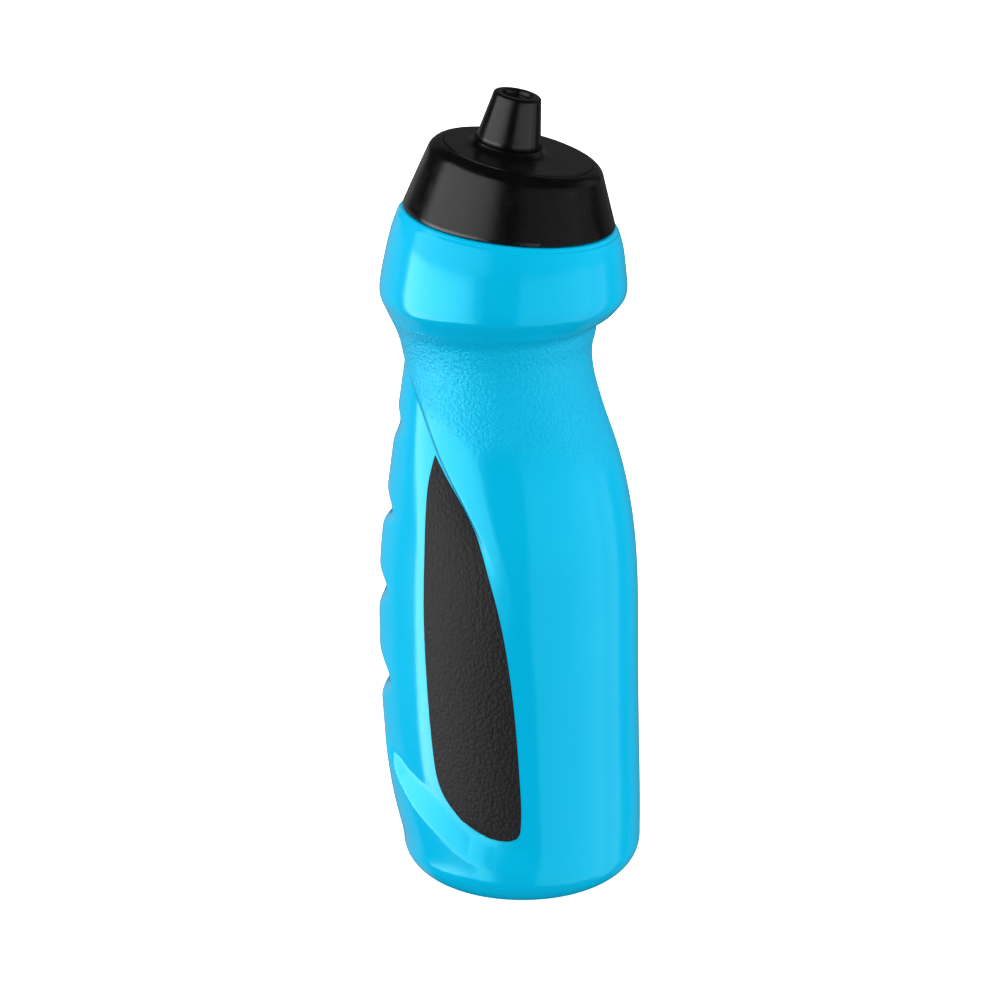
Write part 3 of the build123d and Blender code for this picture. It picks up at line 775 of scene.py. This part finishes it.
def build_nozzle():
    """Tapering spout, hollow from its foot, with a funnel round the hole in its top."""
    angles = even_angles(144)
    start = BOSS_HEIGHT + 0.05
    slant = (NOZZLE_FOOT - NOZZLE_TOP) / (NOZZLE_HEIGHT - start)
    profile = [(6.0, start), (NOZZLE_FOOT - 0.35, start), (NOZZLE_FOOT - 0.1, start + 0.1)]
    profile += [(NOZZLE_FOOT, start + 0.35)]
    profile += [(NOZZLE_FOOT - slant * (h - start), h) for h in (4.0, 8.0, 12.0, 15.0)]
    profile += arc(NOZZLE_TOP - 0.72, NOZZLE_HEIGHT - NOZZLE_ROUND, NOZZLE_ROUND, 12, 90, 9)
    profile += arc(4.9, NOZZLE_HEIGHT - 0.5, 0.5, 90, 170, 6)
    profile += [(4.2, 15.4), (3.3, 15.2), (3.2, 15.0), (3.2, 13.8), (6.45, 13.8), (6.45, 3.1)]
    profile += [(6.0, 3.05)]
    rings = [deck_ring(h, r, BOSS_BACK) for r, h in profile]
    piece = skin("spout", ring_points(rings, angles), closed=True, shade=35)
    return finish_piece(piece, black, "spout", "black_lid", "nozzle")


build_lid_shell()
build_lid_deck()
build_nozzle()

for name, material in (("valve_post", black), ("post_o_ring", silicone), ("lid_gasket", silicone)):
    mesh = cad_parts[name].data
    mesh.materials.clear()
    mesh.materials.append(material)

# ------------------------------------------------------------ floor and light
floor_mesh = bpy.data.meshes.new("floor")
floor_mesh.from_pydata([(-6, -6, 0), (6, -6, 0), (6, 6, 0), (-6, 6, 0)], [], [(0, 1, 2, 3)])
floor = bpy.data.objects.new("floor", floor_mesh)
bpy.context.scene.collection.objects.link(floor)
paper, _, paper_shader = new_material("pale_paper", Roughness=0.9, Specular_IOR_Level=0.0)
paper_shader.inputs["Base Color"].default_value = srgb("#F4F4F4")
paper_shader.inputs["Emission Color"].default_value = (1, 1, 1, 1)
paper_shader.inputs["Emission Strength"].default_value = 0.95
floor_mesh.materials.append(paper)
floor.visible_glossy = False
floor.visible_diffuse = False

VIEW_AZIMUTH = 15.0


def panel(name, turn, spread, radiance, low, high, distance=1.3, gloss=True, body=False):
    """Upright soft box round the object, turn degrees to the right of the camera.

    gloss lets it show in reflections and body lets it light the matt part of a surface.
    """
    angle = math.radians(VIEW_AZIMUTH - 90 + turn)
    width = 2 * distance * math.tan(math.radians(spread / 2))
    height = high - low
    light = bpy.data.lights.new(name, "AREA")
    light.shape = "RECTANGLE"
    light.size, light.size_y = width, height
    light.energy = radiance * math.pi * width * height
    lamp = bpy.data.objects.new(name, light)
    bpy.context.scene.collection.objects.link(lamp)
    lamp.location = (distance * math.cos(angle), distance * math.sin(angle), (low + high) / 2)
    aim = Vector((0, 0, lamp.location.z)) - lamp.location
    lamp.rotation_euler = aim.to_track_quat("-Z", "Y").to_euler()
    lamp.visible_glossy, lamp.visible_diffuse = gloss, body


# Name, turn, spread, radiance, lower and upper edge in metres
REFLECTED = [
    ("key_low", -74, 56, 6.2, -0.76, 0.3),
    ("key_high", -74, 56, 2.2, 0.34, 1.5),
    ("key_fade_1", -41, 10, 5.2, -0.76, 0.3),
    ("key_fade_2", -32, 8, 3.8, -0.76, 0.3),
    ("key_fade_3", -24, 8, 0.8, -0.76, 0.3),
    ("key_fade_4", -41, 10, 2.0, 0.34, 1.5),
    ("key_fade_5", -31, 10, 1.8, 0.34, 1.5),
    ("key_fade_6", -22, 8, 1.5, 0.34, 1.5),
    ("key_fade_7", -15, 6, 0.7, 0.34, 1.5),
    ("fill_low", 50, 72, 1.3, -1.3, 0.28),
    ("fill_low_side", 97, 22, 0.7, -1.3, 0.2),
    ("fill_high", 60, 90, 0.25, 0.3, 0.9),
    ("fill_side", 120, 30, 0.22, 0.3, 1.1),
    ("rear_left", -140, 50, 0.3, -1.3, 0.25),
    ("rear_right", 145, 40, 0.1, -1.3, 0.25),
    ("rear_box", 180, 70, 0.09, 0.2, 1.2),
]
WASHES = [
    ("left_wash", -95, 70, 1.15, -0.6, 1.6),
    ("right_wash", 88, 70, 0.85, -0.6, 1.6),
]
for row in REFLECTED:
    panel(*row)
for row in WASHES:
    panel(*row, gloss=False, body=True)

world = bpy.data.worlds.new("studio")
bpy.context.scene.world = world
world.use_nodes = True
sky = world.node_tree
path = add(sky, "ShaderNodeLightPath")
# White behind the object, soft light on it that is weaker from below, and no glare from the room
WHITE, ABOVE, BELOW, DARK = 1.1, 0.92, 0.56, 0.0
toward = add(sky, "ShaderNodeTexCoord").outputs["Generated"]
height = add(sky, "ShaderNodeSeparateXYZ", {"Vector": toward}).outputs["Z"]
even = add(
    sky, "ShaderNodeMapRange", {"Value": height},
    {"From Min": -0.6, "From Max": 0.4, "To Min": BELOW, "To Max": ABOVE},
)
reflected, seen = path.outputs["Is Glossy Ray"], path.outputs["Is Camera Ray"]
dim = add(sky, "ShaderNodeMix", {"Factor": reflected, "A": even.outputs[0]}, {"B": DARK})
glow = add(sky, "ShaderNodeMix", {"Factor": seen, "A": dim.outputs[0]}, {"B": WHITE})
sky.links.new(glow.outputs[0], sky.nodes["Background"].inputs["Strength"])
sky.nodes["Background"].inputs["Color"].default_value = (1, 1, 1, 1)

# ------------------------------------------------------------------- camera
CAMERA_PLACE, CAMERA_DOWN, CAMERA_LENS = (0.2300, -0.8711, 0.4383), 19.604, 115.39
camera = bpy.data.objects.new("camera", bpy.data.cameras.new("camera"))
bpy.context.scene.collection.objects.link(camera)
camera.data.lens = CAMERA_LENS
camera.data.sensor_width = 36.0
camera.location = CAMERA_PLACE
camera.rotation_euler = (math.radians(90 - CAMERA_DOWN), 0, math.radians(VIEW_AZIMUTH))
bpy.context.scene.camera = camera
